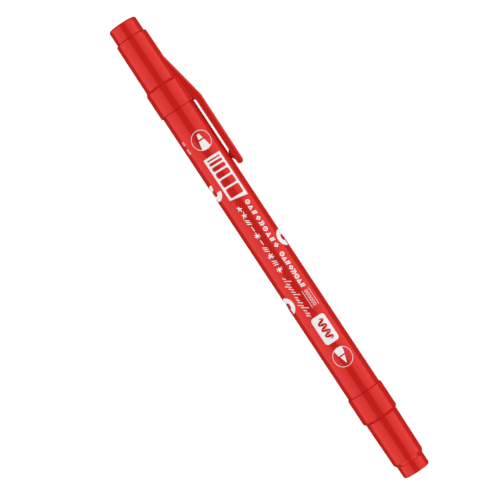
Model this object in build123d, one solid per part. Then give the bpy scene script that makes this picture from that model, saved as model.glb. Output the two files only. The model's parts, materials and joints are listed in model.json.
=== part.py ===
from build123d import *

# A twin-tip permanent marker: a barrel with a bullet nib at one end and a fine nib at the other,
# and a press-on cap over each. One cap carries a pocket clip.
#
# The marker lies on its two cap collars and one corner of the clip, as it does on a desk.
# X runs along the marker, towards the cap with the clip. Z is up, and the origin is under the
# middle of the bounding box, on the desk.
#
# Each end is modelled in its own frame first: x = 0 on the barrel's shoulder, +x outwards, the
# marker's axis on the X axis, and +Z on the clip's side.

import os
from dataclasses import dataclass
from math import asin, atan2, cos, degrees, hypot, sin

# ---- clearances, mm ----------------------------------------------------------------------------

press_gap = 0.02            # radial, between pieces that are pressed or bonded together
mouth_clearance = 0.1       # radial, between a neck and the cap's mouth
mouth_gap = 0.05            # along the axis, between the barrel's shoulder and a seated cap
seat_clearance = 0.04       # radial, between a section's seat and the liner that seals on it
end_gap = 0.2               # along the axis, between stacked inner pieces
hinge_gap = 0.03            # round the root of the clip, where it bends
past = 1.0                  # how far a form that cuts runs past the piece it cuts

# ---- barrel, mm --------------------------------------------------------------------------------

barrel_length = 88.0        # between the two shoulders
barrel_radius = 4.75
barrel_wall = 1.25
shoulder_rounding = 0.12    # on the outer edge of each shoulder
neck_step = 0.65            # from the barrel's surface down to the neck
neck_length = 6.0
bead_height = 0.07          # snap bead round the neck
bead_length = 0.8
bead_ramp = 0.25
bead_setback = 2.2          # from the shoulder to the bead
rib_count = 6               # ribs inside that hold the reservoir and let air past
rib_height = 0.12
rib_width = 0.6

# ---- reservoir, mm -----------------------------------------------------------------------------

film_thickness = 0.1
nib_inset = 4.0             # how far each nib reaches into the fibre rod

# ---- writing ends, mm --------------------------------------------------------------------------

grip_rounding = 0.2         # on the inner end of a section
seat_rounding = 0.15        # on a section's flange and seat
vent_width = 0.6            # groove that lets air in past a section
vent_depth = 0.4
nib_rounding = 0.6          # of a nib's corners, as a share of their radius
sleeve_rounding = 0.6       # of the sleeve's outer edge, as a share of its wall

# ---- caps, mm ----------------------------------------------------------------------------------

cap_wall = 0.9              # round the neck
collar_edge = 0.15          # rounding on the collar's outer edges
lead_in_length = 0.3        # slope in the mouth that guides the neck in
lead_in_step = 0.2
shell_wall = 0.62           # at the outer end of the shell, round the liner
liner_end_wall = 0.6
nib_room = 0.5              # from a nib's tip to the closed end of its liner
plug_wall = 0.8
plug_floor = 0.9
nub_rounding = 0.4
liner_rounding = 0.3        # on the closed end of a liner
spigot_rounding = 0.1       # on the inner end of a plug

# ---- clip, mm ----------------------------------------------------------------------------------

clip_width = 4.6
clip_reach = 20.68          # from the mouth towards the middle of the barrel
clip_gap = 0.58             # from the barrel to the clip's inner face
clip_root_thickness = 1.9
clip_tip_thickness = 1.73
clip_tip_rounding = 0.8     # rounding of the tip, seen from the side
clip_edge = 0.35            # rounding along the clip's edges
ramp_start = 13.8           # from the mouth, where the clip's ramp leaves the cap
bump_base_length = 3.05
bump_top_length = 1.5
bump_setback = 1.68         # from the tip to the bump's base
bump_width = 2.2
bump_gap = 0.1              # from the bump to the barrel
bump_rounding = 0.2


@dataclass
class Cap:
    """The outside of a cap, from its mouth outwards. Steps are changes of radius."""
    collar_length: float
    collar_step: float
    collar_bevel: float         # length of the slope from the collar to the body
    body_length: float
    body_taper: float
    shoulder_step: float        # from the body to the plug, at the end of the shell
    shoulder_edge: float        # rounding of the end of the body
    bevel_step: float           # slope on the plug
    bevel_length: float
    nub_length: float
    liner_wall: float


@dataclass
class Tip:
    """A writing end: its section, which is pressed into a neck, and its nib."""
    grip_length: float          # held inside the neck and barrel
    flange_length: float
    flange_inset: float         # radius, from the neck's surface
    seat_length: float
    seat_step: float
    cone_length: float
    cone_end_radius: float
    lip_rounding: float
    nib_radius: float
    nib_length: float           # beyond the section or its sleeve
    point_length: float
    point_radius: float
    sleeve_wall: float = 0.0
    sleeve_length: float = 0.0  # beyond the section
    sleeve_inset: float = 0.0   # inside the section


clip_cap = Cap(
    collar_length=7.0, collar_step=0.47, collar_bevel=0.75,
    body_length=14.55, body_taper=0.11, shoulder_step=0.47, shoulder_edge=0.35,
    bevel_step=0.0, bevel_length=0.0, nub_length=4.45, liner_wall=0.66)
plain_cap = Cap(
    collar_length=7.5, collar_step=0.5, collar_bevel=0.65,
    body_length=12.6, body_taper=0.16, shoulder_step=0.0, shoulder_edge=0.0,
    bevel_step=0.54, bevel_length=0.9, nub_length=3.5, liner_wall=0.58)

bullet_tip = Tip(
    grip_length=9.0, flange_length=0.8, flange_inset=0.05,
    seat_length=3.0, seat_step=0.2, cone_length=5.2, cone_end_radius=1.9, lip_rounding=0.25,
    nib_radius=1.5, nib_length=2.6, point_length=1.7, point_radius=0.75)
fine_tip = Tip(
    grip_length=9.0, flange_length=0.8, flange_inset=0.05,
    seat_length=3.0, seat_step=0.2, cone_length=5.4, cone_end_radius=1.35, lip_rounding=0.2,
    nib_radius=0.45, nib_length=0.8, point_length=0.45, point_radius=0.22,
    sleeve_wall=0.4, sleeve_length=1.3, sleeve_inset=3.0)

# ---- sizes that follow from those above ---------------------------------------------------------

barrel_bore = barrel_radius - barrel_wall
neck_radius = barrel_radius - neck_step
mouth_radius = neck_radius + mouth_clearance
collar_radius = mouth_radius + cap_wall
film_outer = barrel_bore - rib_height - press_gap
film_inner = film_outer - film_thickness
reservoir_radius = film_inner - press_gap
clip_inner_height = barrel_radius + clip_gap
clip_root_height = clip_inner_height + clip_root_thickness
clip_tip_height = clip_inner_height + clip_tip_thickness
clip_root_radius = clip_root_thickness / 2


def body_root_radius(cap):
    return collar_radius - cap.collar_step


def body_end_radius(cap):
    return body_root_radius(cap) - cap.body_taper


def shell_end(cap):
    return mouth_gap + cap.collar_length + cap.collar_bevel + cap.body_length


def cap_end(cap):
    return shell_end(cap) + cap.bevel_length + cap.nub_length


def nub_radius(cap):
    return body_end_radius(cap) - cap.shoulder_step - cap.bevel_step


def liner_outer(cap):
    return body_end_radius(cap) - shell_wall - press_gap


def liner_inner(cap):
    return liner_outer(cap) - cap.liner_wall


def flange_end(tip):
    return neck_length + tip.flange_length


def section_back(tip):
    return neck_length - tip.grip_length


def section_end(tip):
    return flange_end(tip) + tip.seat_length + tip.cone_length


def nib_end(tip):
    return section_end(tip) + tip.sleeve_length + tip.nib_length


def nib_back(tip):
    return section_back(tip) - end_gap - nib_inset


def liner_end(tip):
    return nib_end(tip) + nib_room + liner_end_wall


# ---- helpers -----------------------------------------------------------------------------------

def outline(corners):
    """A closed face in XY from corners, each (x, y) or (x, y, rounding). Repeats are dropped."""
    kept = [c for c, after in zip(corners, corners[1:] + corners[:1]) if c[:2] != after[:2]]
    rounding = [c[2] if len(c) > 2 else 0 for c in kept]
    line = FilletPolyline(*[c[:2] for c in kept], radius=rounding, close=True)
    return make_face(line.edges())


def turned(corners):
    """A solid turned about the X axis from (x, radius) corners."""
    return revolve(outline(corners), Axis.X)


def rod(start, end, radius):
    """A plain round bar along the X axis."""
    return turned([(start, 0), (end, 0), (end, radius), (start, radius)])


def across(corners, width):
    """A plate from (x, height) corners, as wide as given, centred on the marker's axis."""
    return extrude(Plane.XZ * outline(corners), amount=width / 2, both=True)


# ---- barrel ------------------------------------------------------------------------------------

def make_barrel_tube():
    """One moulded tube: the barrel, a neck at each end with its snap bead, and the inner ribs."""
    bead_start = bead_setback
    bead_end = bead_setback + bead_length
    bead_radius = neck_radius + bead_height
    shoulder = barrel_length / 2
    half = [
        (shoulder, barrel_radius, shoulder_rounding),
        (shoulder, neck_radius),
        (shoulder + bead_start, neck_radius),
        (shoulder + bead_start + bead_ramp, bead_radius),
        (shoulder + bead_end - bead_ramp, bead_radius),
        (shoulder + bead_end, neck_radius),
        (shoulder + neck_length, neck_radius),
        (shoulder + neck_length, barrel_bore),
    ]
    other_half = [(-corner[0], *corner[1:]) for corner in reversed(half)]
    tube = turned(half + other_half)

    rib_half_length = shoulder + min(section_back(bullet_tip), section_back(fine_tip)) - end_gap
    bar = Pos(0, 0, barrel_bore) * Box(2 * rib_half_length, rib_width, 2 * rib_height)
    for index in range(rib_count):
        tube += Rot(index * 360 / rib_count, 0, 0) * bar
    return tube


def make_reservoir():
    """Fibre rod that holds the ink, with a pocket at each end for a nib."""
    right = barrel_length / 2 + section_back(bullet_tip) - end_gap
    left = -(barrel_length / 2 + section_back(fine_tip) - end_gap)
    fibre = rod(left, right, reservoir_radius)
    depth = nib_inset + end_gap
    fibre -= rod(right - depth, right + past, bullet_tip.nib_radius + press_gap)
    fibre -= rod(left - past, left + depth, fine_tip.nib_radius + press_gap)
    film = rod(left, right, film_outer) - rod(left - past, right + past, film_inner)
    return fibre, film


# ---- writing ends ------------------------------------------------------------------------------

def make_section(tip, cap):
    """Front piece: grip inside the barrel, flange on the neck, sealing seat, cone, nib hole."""
    grip_radius = barrel_bore - press_gap
    flange_radius = neck_radius - tip.flange_inset
    seat_radius = liner_inner(cap) - seat_clearance
    cone_radius = seat_radius - tip.seat_step
    seat_end = flange_end(tip) + tip.seat_length
    end = section_end(tip)
    back = section_back(tip)
    section = turned([
        (back, 0), (back, grip_radius, grip_rounding),
        (neck_length, grip_radius), (neck_length, flange_radius),
        (flange_end(tip), flange_radius, seat_rounding), (flange_end(tip), seat_radius),
        (seat_end, seat_radius, seat_rounding), (seat_end, cone_radius),
        (end, tip.cone_end_radius, tip.lip_rounding), (end, 0),
    ])
    section -= rod(back - past, end + past, tip.nib_radius + press_gap)
    if tip.sleeve_length:
        hole = tip.nib_radius + tip.sleeve_wall + 2 * press_gap
        section -= rod(end - tip.sleeve_inset, end + past, hole)
    return section - make_vent(tip, back)


def make_vent(tip, back):
    """Groove along the grip and through the flange, which lets air in as the ink runs out."""
    floor = barrel_bore - vent_depth
    length = flange_end(tip) - back + 2 * past
    height = neck_radius - floor + past
    middle = back - past + length / 2
    return Pos(middle, 0, -(floor + height / 2)) * Box(length, vent_width, height)


def make_nib(tip):
    """Fibre nib, from inside the reservoir to its rounded point."""
    end = nib_end(tip)
    start_of_point = end - tip.point_length
    return turned([
        (nib_back(tip), 0), (nib_back(tip), tip.nib_radius),
        (start_of_point, tip.nib_radius, tip.nib_radius * nib_rounding),
        (end, tip.point_radius, tip.point_radius * nib_rounding), (end, 0),
    ])


def make_sleeve(tip):
    """Thin tube that stiffens the fine nib, pressed into the end of its section."""
    start = section_end(tip) - tip.sleeve_inset + press_gap
    end = section_end(tip) + tip.sleeve_length
    outer = tip.nib_radius + press_gap + tip.sleeve_wall
    edge = tip.sleeve_wall * sleeve_rounding
    tube = turned([(start, 0), (start, outer), (end, outer, edge), (end, 0)])
    return tube - rod(start - past, end + past, tip.nib_radius + press_gap)


# ---- caps --------------------------------------------------------------------------------------

def cap_outside(cap):
    """The full round outside of a shell, as a solid with no hollow."""
    collar_end = mouth_gap + cap.collar_length
    body_start = collar_end + cap.collar_bevel
    end = shell_end(cap)
    return turned([
        (mouth_gap, 0), (mouth_gap, collar_radius, collar_edge),
        (collar_end, collar_radius, collar_edge), (body_start, body_root_radius(cap), collar_edge),
        (end, body_end_radius(cap), cap.shoulder_edge), (end, 0),
    ])


def cap_hollow(cap, tip):
    """The inside of a shell: a mouth that takes the neck and flange, then the liner's bore."""
    step = flange_end(tip) + mouth_gap
    liner_bore = liner_outer(cap) + press_gap
    lead_in_radius = mouth_radius + lead_in_step
    return turned([
        (mouth_gap - past, 0), (mouth_gap - past, lead_in_radius), (mouth_gap, lead_in_radius),
        (mouth_gap + lead_in_length, mouth_radius), (step, mouth_radius), (step, liner_bore),
        (shell_end(cap) + past, liner_bore), (shell_end(cap) + past, 0),
    ])


def make_liner(cap, tip):
    """Inner cap: a closed tube that seals on the section's seat and keeps the nib moist."""
    start = flange_end(tip) + mouth_gap + press_gap
    end = liner_end(tip)
    outer = liner_outer(cap)
    tube = turned([(start, 0), (start, outer), (end, outer, liner_rounding), (end, 0)])
    return tube - rod(start - past, end - liner_end_wall, liner_inner(cap))


def make_plug(cap, tip):
    """End plug: the nub on the end of a cap, and a hollow spigot that fits the shell's bore."""
    inner_end = liner_end(tip) + end_gap
    shell = shell_end(cap)
    spigot_radius = liner_outer(cap)
    base_radius = nub_radius(cap) + cap.bevel_step
    nub_start = shell + cap.bevel_length
    end = cap_end(cap)
    plug = turned([
        (inner_end, 0), (inner_end, spigot_radius, spigot_rounding),
        (shell, spigot_radius), (shell, base_radius), (nub_start, nub_radius(cap)),
        (end, nub_radius(cap), nub_rounding), (end, 0),
    ])
    hollow_radius = min(spigot_radius, nub_radius(cap)) - plug_wall
    return plug - rod(inner_end - past, end - plug_floor, hollow_radius)


# ---- clip --------------------------------------------------------------------------------------

root_x = mouth_gap
root_z = clip_root_height - clip_root_radius


def make_buttress(cap):
    """Ramp that rises from the cap's body to the root of the clip, hollowed for the root."""
    start_height = body_root_radius(cap)
    core = barrel_bore
    block = across([
        (root_x, core), (root_x, clip_root_height),
        (ramp_start, start_height), (ramp_start, core),
    ], clip_width)
    ramp_length = hypot(ramp_start - root_x, clip_root_height - start_height)
    ramp_edges = block.edges().filter_by(lambda edge: abs(edge.length - ramp_length) < hinge_gap)
    block = fillet(ramp_edges, clip_edge)
    socket = Cylinder(clip_root_radius + hinge_gap, clip_width + 2 * past)
    return block - Pos(root_x, 0, root_z) * Rot(90, 0, 0) * socket


def make_clip():
    """Clip arm, drawn tight round its root and the corners of its tip, with the gripping bump."""
    tip_x = root_x - clip_reach
    inner = clip_inner_height
    rounding = min(clip_tip_rounding, clip_tip_thickness * 0.45)
    corner_x = tip_x + rounding
    side = make_hull([
        *(Pos(root_x, root_z) * Circle(clip_root_radius)).edges(),
        *(Pos(corner_x, inner + rounding) * Circle(rounding)).edges(),
        *(Pos(corner_x, clip_tip_height - rounding) * Circle(rounding)).edges(),
    ])
    arm = extrude(Plane.XZ * side, amount=clip_width / 2, both=True)
    arm = fillet(arm.faces().filter_by(Axis.Y).edges(), clip_edge)

    base_start = tip_x + bump_setback
    base_end = base_start + bump_base_length
    slope = (bump_base_length - bump_top_length) / 2
    face = barrel_radius + bump_gap
    sunk = inner + clip_root_thickness / 4
    bump = across([
        (base_start, sunk), (base_start, inner), (base_start + slope, face, bump_rounding),
        (base_end - slope, face, bump_rounding), (base_end, inner), (base_end, sunk),
    ], bump_width)
    return arm + bump


def make_shell(cap, tip, buttress=None):
    """Outer shell of a cap."""
    shell = cap_outside(cap)
    if buttress is not None:
        shell += buttress
    return shell - cap_hollow(cap, tip)


# ---- the whole marker --------------------------------------------------------------------------

def clip_roll():
    """Angle below level at which the clip points when the marker lies on its collars and clip."""
    corner_height = clip_root_height - clip_edge
    corner_side = clip_width / 2 - clip_edge
    reach = hypot(corner_height, corner_side)
    return asin((collar_radius - clip_edge) / reach) - atan2(corner_side, corner_height)


def at_clip_end(piece):
    return Pos(barrel_length / 2, 0, 0) * piece


def at_plain_end(piece):
    return Pos(-barrel_length / 2, 0, 0) * Rot(0, 0, 180) * piece


def make_marker():
    """Every piece, by name, about the marker's own axis."""
    reservoir, film = make_reservoir()
    return {
        "barrel_tube": make_barrel_tube(),
        "ink_reservoir": reservoir,
        "reservoir_film": film,
        "bullet_section": at_clip_end(make_section(bullet_tip, clip_cap)),
        "bullet_nib": at_clip_end(make_nib(bullet_tip)),
        "fine_section": at_plain_end(make_section(fine_tip, plain_cap)),
        "fine_tip_sleeve": at_plain_end(make_sleeve(fine_tip)),
        "fine_nib": at_plain_end(make_nib(fine_tip)),
        "clip_cap_shell": at_clip_end(make_shell(clip_cap, bullet_tip, make_buttress(clip_cap))),
        "clip_cap_liner": at_clip_end(make_liner(clip_cap, bullet_tip)),
        "clip_cap_plug": at_clip_end(make_plug(clip_cap, bullet_tip)),
        "pocket_clip": at_clip_end(make_clip()),
        "plain_cap_shell": at_plain_end(make_shell(plain_cap, fine_tip)),
        "plain_cap_liner": at_plain_end(make_liner(plain_cap, fine_tip)),
        "plain_cap_plug": at_plain_end(make_plug(plain_cap, fine_tip)),
    }


pieces = make_marker()
roll = clip_roll()
turned_down = {name: Rot(90 + degrees(roll), 0, 0) * piece for name, piece in pieces.items()}
box = Compound(children=[Compound(piece.solids()) for piece in turned_down.values()]).bounding_box()
to_desk = Pos(-box.center().X, -box.center().Y, -box.min.Z)

os.makedirs("parts", exist_ok=True)
for name, piece in turned_down.items():
    export_step(to_desk * piece, f"parts/{name}.step")

axis_y = -box.center().Y
axis_z = -box.min.Z
clip_end_x = barrel_length / 2 - box.center().X
plain_end_x = -barrel_length / 2 - box.center().X
print(f"size {box.size.X:.3f} x {box.size.Y:.3f} x {box.size.Z:.3f}")
print(f"axis at y {axis_y:.4f}, z {axis_z:.4f}; clip points {degrees(roll):.3f} degrees below level")
print(f"shoulders at x {plain_end_x:.4f} and {clip_end_x:.4f}")
print(f"clip cap ends at x {clip_end_x + cap_end(clip_cap):.4f}, nub radius {nub_radius(clip_cap):.4f}")
print(f"plain cap ends at x {plain_end_x - cap_end(plain_cap):.4f}, "
      f"nub radius {nub_radius(plain_cap):.4f}")
root_y = axis_y - root_z * cos(roll)
root_height = axis_z - root_z * sin(roll)
print(f"clip bends about x {clip_end_x + root_x:.4f}, y {root_y:.4f}, z {root_height:.4f}")
print(f"nib tips stand {nib_end(bullet_tip):.3f} and {nib_end(fine_tip):.3f} beyond the shoulders")
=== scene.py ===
"""Twin-tip permanent marker: moulded caps, clip, printing, nibs and a small studio, round its frame."""
import json
import math
import random

import bmesh
import bpy
from bpy.props import FloatProperty, FloatVectorProperty, IntProperty, PointerProperty
from mathutils import Matrix, Vector
from mathutils.geometry import tessellate_polygon

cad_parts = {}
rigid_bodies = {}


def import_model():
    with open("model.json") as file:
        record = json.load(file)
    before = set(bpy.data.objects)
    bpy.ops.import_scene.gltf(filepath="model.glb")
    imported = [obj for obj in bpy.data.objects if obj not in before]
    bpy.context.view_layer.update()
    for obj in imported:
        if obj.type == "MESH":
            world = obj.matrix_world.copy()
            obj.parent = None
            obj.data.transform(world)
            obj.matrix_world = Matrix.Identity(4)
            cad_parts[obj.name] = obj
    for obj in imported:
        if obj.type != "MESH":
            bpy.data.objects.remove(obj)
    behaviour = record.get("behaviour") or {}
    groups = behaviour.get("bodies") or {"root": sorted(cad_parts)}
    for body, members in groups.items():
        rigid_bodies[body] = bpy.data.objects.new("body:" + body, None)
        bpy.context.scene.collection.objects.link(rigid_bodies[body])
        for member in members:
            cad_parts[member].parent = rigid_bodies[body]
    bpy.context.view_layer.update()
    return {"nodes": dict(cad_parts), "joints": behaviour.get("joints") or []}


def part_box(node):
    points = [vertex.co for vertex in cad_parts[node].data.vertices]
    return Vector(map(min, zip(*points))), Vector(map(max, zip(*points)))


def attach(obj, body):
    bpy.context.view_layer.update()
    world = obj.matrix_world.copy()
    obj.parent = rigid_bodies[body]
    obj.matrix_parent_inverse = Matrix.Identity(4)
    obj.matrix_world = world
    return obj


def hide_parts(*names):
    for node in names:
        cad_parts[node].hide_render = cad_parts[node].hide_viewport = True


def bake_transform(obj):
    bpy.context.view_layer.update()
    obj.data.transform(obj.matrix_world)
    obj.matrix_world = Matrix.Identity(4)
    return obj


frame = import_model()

bl_info = {
    "name": "Twin-tip marker",
    "version": (1, 0, 0),
    "blender": (4, 5, 0),
    "location": "3D View > Sidebar > Marker",
    "description": "Builds a twin-tip permanent marker with its caps, clip, nibs and printing",
    "category": "Object",
}

MM = 0.001
TINY = 1e-7
PRESS_GAP = 0.02 * MM       # between pieces that are pressed together
STEP_ANGLE = 38.0           # degrees between two faces, past which their edge stays sharp
SOFT_EDGE = 0.12 * MM       # rounding of a moulded step that can be felt
CRISP_EDGE = 0.05 * MM      # rounding of a moulded edge that looks sharp
GROOVE_EDGE = 0.03 * MM     # rounding of a fine groove's edges
LEAD_IN = 0.3 * MM          # length of the slope inside a cap's mouth
LEAD_STEP = 0.2 * MM        # how much wider that slope is at the mouth

# ---- places read from the frame -----------------------------------------------------------------

tube_low, tube_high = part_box("barrel_tube")
clip_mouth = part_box("clip_cap_shell")[0].x
plain_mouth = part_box("plain_cap_shell")[1].x
flex = next(joint for joint in frame["joints"] if joint["name"] == "clip_flex")

ALONG = Vector((1, 0, 0))
FRONT = Vector(flex["axis"]).normalized()      # square to the clip, out of the printed side
CLIP_WAY = ALONG.cross(FRONT)                  # from the marker's axis towards the clip
AXIS = Vector((0, (tube_low.y + tube_high.y) / 2, (tube_low.z + tube_high.z) / 2))


class Place:
    """Where distances along the marker start, and which way they grow."""

    def __init__(self, way, mouth):
        self.way = way
        self.mouth = mouth


class End(Place):
    """One end of the marker. Distances are measured outwards from the mouth of its cap."""

    def __init__(self, way, mouth, shell, plug, liner, section, nib):
        super().__init__(way, mouth)
        self.collar_radius = self.radius_of("plain_cap_shell")
        self.shell = self.span_of(shell)
        self.plug = self.span_of(plug)
        self.liner = self.span_of(liner)
        self.liner_radius = self.radius_of(liner)
        self.section = self.span_of(section)
        self.section_radius = self.radius_of(section)
        self.nib = self.span_of(nib)
        self.nib_radius = self.radius_of(nib)

    def span_of(self, node):
        """Where a node starts and ends, outwards from the mouth."""
        low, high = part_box(node)
        return tuple(sorted((x - self.mouth) * self.way for x in (low.x, high.x)))

    @staticmethod
    def radius_of(node):
        low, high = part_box(node)
        return (high.z - low.z) / 2


CLIP_END = End(1, clip_mouth, "clip_cap_shell", "clip_cap_plug", "clip_cap_liner",
               "bullet_section", "bullet_nib")
PLAIN_END = End(-1, plain_mouth, "plain_cap_shell", "plain_cap_plug", "plain_cap_liner",
                "fine_section", "fine_nib")
BARREL_RADIUS = End.radius_of("barrel_tube")
SLEEVE_RADIUS = End.radius_of("fine_tip_sleeve")
SLEEVE = PLAIN_END.span_of("fine_tip_sleeve")


# ---- sizes and colours a user may change --------------------------------------------------------

def length(name, description, millimetres):
    """A length setting, given in millimetres and kept in metres."""
    return FloatProperty(name=name, description=description, default=millimetres * MM, min=0.0,
                         unit="LENGTH", subtype="DISTANCE", precision=5)


def colour(name, description, red, green, blue):
    """A colour setting, in linear light."""
    return FloatVectorProperty(name=name, description=description, default=(red, green, blue),
                               size=3, min=0.0, max=1.0, subtype="COLOR")


class MARKER_PG_clip_cap(bpy.types.PropertyGroup):
    collar_length: length("Collar", "Length of the collar", 7.05)
    collar_step: length("Collar step", "From the collar's surface down to the body", 0.47)
    collar_bevel: length("Collar bevel", "Length of the slope below the collar", 0.78)
    body_taper: length("Taper", "How much thinner the body is at its end, in radius", 0.11)
    body_edge: length("Body edge", "Rounding of the end of the body", 0.3)
    nub_step: length("Nub step", "From the end of the body down to the nub", 0.47)
    nub_bevel: length("Nub bevel", "Length of the slope before the nub", 0.0)
    groove: length("Groove", "Depth of the fine groove where the nub starts", 0.09)
    mouth_chamfer: length("Mouth chamfer", "On the outer edge of the mouth", 0.08)
    mouth_radius: length("Mouth radius", "Inner radius round the neck", 4.2)
    mouth_depth: length("Mouth depth", "How deep the wide part of the hollow is", 6.8)


class MARKER_PG_plain_cap(bpy.types.PropertyGroup):
    collar_length: length("Collar", "Length of the collar", 7.48)
    collar_step: length("Collar step", "From the collar's surface down to the body", 0.5)
    collar_bevel: length("Collar bevel", "Length of the slope below the collar", 0.58)
    body_taper: length("Taper", "How much thinner the body is at its end, in radius", 0.16)
    body_edge: length("Body edge", "Rounding of the end of the body", 0.04)
    nub_step: length("Nub step", "From the end of the body down to the nub", 0.54)
    nub_bevel: length("Nub bevel", "Length of the slope before the nub", 0.9)
    groove: length("Groove", "Depth of the fine groove below each slope", 0.12)
    mouth_chamfer: length("Mouth chamfer", "On the outer edge of the mouth", 0.16)
    mouth_radius: length("Mouth radius", "Inner radius round the neck", 4.2)
    mouth_depth: length("Mouth depth", "How deep the wide part of the hollow is", 6.8)


class MARKER_PG_clip(bpy.types.PropertyGroup):
    width: length("Width", "Width of the clip", 4.6)
    reach: length("Reach", "From the mouth of the cap to the tip of the clip", 20.68)
    gap: length("Gap", "From the barrel to the clip's inner face", 0.58)
    root_thickness: length("Root thickness", "Thickness where the arm starts", 1.9)
    tip_thickness: length("Tip thickness", "Thickness near the tip", 1.73)
    ramp_length: length("Ramp", "From the mouth to where the ramp leaves the cap", 13.3)
    edge: length("Outer edge", "Rounding along the clip's outer edges", 0.55)
    inner_edge: length("Inner edge", "Rounding along the clip's inner edges", 0.16)
    tip_corner: length("Tip corner", "Rounding of the tip seen from above", 1.35)
    tip_rounding: length("Tip rounding", "Rounding of the tip seen from the side", 0.82)
    slot_rounding: length("Slot rounding", "Rounding at the closed end of the slot", 0.42)
    crest_rounding: length("Crest", "Half the length of the soft crest over the mouth", 0.45)
    bump_length: length("Bump", "Length of the gripping bump where it meets the arm", 3.2)
    bump_top: length("Bump top", "Length of the bump's flat top", 1.6)
    bump_setback: length("Bump setback", "From the tip to the bump", 1.62)
    bump_gap: length("Bump gap", "From the bump to the barrel", 0.02)
    bump_width: length("Bump width", "Width of the bump", 2.2)


class MARKER_PG_barrel(bpy.types.PropertyGroup):
    neck_step: length("Neck step", "From the barrel's surface down to the neck", 0.65)
    wall: length("Wall", "Thickness of the barrel's wall", 1.25)
    shoulder_chamfer: length("Shoulder chamfer", "On the edges of the shoulders", 0.08)
    mouth_gap: length("Mouth gap", "Between a shoulder and its cap", 0.015)
    bead_height: length("Bead height", "Height of the snap bead", 0.07)
    bead_length: length("Bead length", "Length of the snap bead", 0.8)
    bead_setback: length("Bead setback", "From the shoulder to the snap bead", 2.2)
    flange: length("Flange", "Length of the flange on each section", 0.8)
    seat: length("Seat", "Length of each section's sealing seat", 3.0)
    seat_radius: length("Seat radius", "Radius of the sealing seat", 3.18)
    seat_step: length("Seat step", "From the seat down to the cone", 0.2)
    bullet_lip: length("Bullet lip", "Radius of the lip round the bullet nib", 1.9)
    fine_lip: length("Fine lip", "Radius of the lip round the fine tip", 1.35)
    fin_count: IntProperty(name="Fins", description="Sealing rings on each grip", default=9, min=2)
    rib_count: IntProperty(name="Ribs", description="Gripping ribs in each mouth", default=12, min=3)


class MARKER_PG_print(bpy.types.PropertyGroup):
    ink_height: length("Ink height", "How far the printing stands above the barrel", 0.012)
    icon_radius: length("Icon radius", "Outer radius of the rings at the ends", 2.76)
    icon_line: length("Icon line", "Line width of the rings", 0.14)
    thin_stroke: length("Thin stroke", "Line width of the pen scribble", 0.17)
    brush_stroke: length("Brush stroke", "Widest part of the brush strokes", 0.24)
    fine_line: length("Fine line", "Line width of the ruled row", 0.11)
    row_base: length("Row base", "Foot of the bold row, from the front line", 1.2)
    row_height: length("Row height", "Height of the bold marks", 1.4)
    arc_radius: length("Arc radius", "Outer radius of the open rings", 2.38)
    arc_width: length("Arc width", "Width of the open rings", 1.45)
    row_first: IntProperty(name="First mark", description="Mark that the bold rows start from",
                           default=4)
    brush_seed: IntProperty(name="Brush seed", description="Varies the brush strokes", default=7)
    scribble_seed: IntProperty(name="Scribble seed", description="Varies the loops", default=3)


class MARKER_PG_colours(bpy.types.PropertyGroup):
    plastic: colour("Plastic", "Glossy moulded body colour", 0.85, 0.0215, 0.0145)
    plastic_shade: colour("Plastic shade", "Slightly deeper moulded colour", 0.815, 0.0185, 0.0125)
    printing: colour("Printing", "Screen-printed ink", 0.96, 0.955, 0.985)
    section: colour("Section", "Front pieces and fine sleeve", 0.014, 0.014, 0.016)
    liner: colour("Liner", "Inner caps", 0.80, 0.79, 0.76)
    nib: colour("Nib", "Fibre soaked in ink", 0.30, 0.008, 0.008)
    reservoir: colour("Reservoir", "Ink fibre", 0.42, 0.02, 0.018)
    floor: colour("Floor", "Studio floor", 0.28, 0.28, 0.28)


class MARKER_PG_studio(bpy.types.PropertyGroup):
    camera_distance: length("Camera distance", "From the marker's axis", 640.0)
    view_width: length("View width", "Width in view at the marker's axis", 130.75)
    centre_along: length("Centre", "Middle of the view, towards the clip cap", 2.27)
    centre_aside: length("Aside", "Middle of the view, away from the clip", 4.58)
    tilt: FloatProperty(name="Tilt", description="Turn of the marker in the picture",
                        default=math.radians(33.486), subtype="ANGLE")
    floor_size: length("Floor size", "Side of the floor", 6000.0)
    room_light: FloatProperty(name="Room light", description="Strength of the even light",
                              default=0.95, min=0.0)
    softbox_light: FloatProperty(name="Softbox light", description="Strength of the softboxes",
                                 default=0.94, min=0.0)
    gap_angle: FloatProperty(name="Gap", description="Half the dark gap between the softboxes",
                             default=math.radians(25.0), subtype="ANGLE")
    clip_reach: FloatProperty(name="Clip side reach", description="Far edge of that softbox",
                              default=math.radians(91.0), subtype="ANGLE")
    far_reach: FloatProperty(name="Far side reach", description="Far edge of that softbox",
                             default=math.radians(102.0), subtype="ANGLE")
    box_end: FloatProperty(name="Softbox end", description="Where the softboxes end, towards the clip",
                           default=0.58, min=-1.0, max=0.9)
    box_start: FloatProperty(name="Softbox start", description="Where they end, on the other side",
                             default=-0.93, min=-1.0, max=0.9)
    end_falloff: FloatProperty(name="End falloff", description="Dimming towards the ends",
                               default=0.3, min=0.0, max=1.0)


# ---- node trees written as sums ------------------------------------------------------------------

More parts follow.
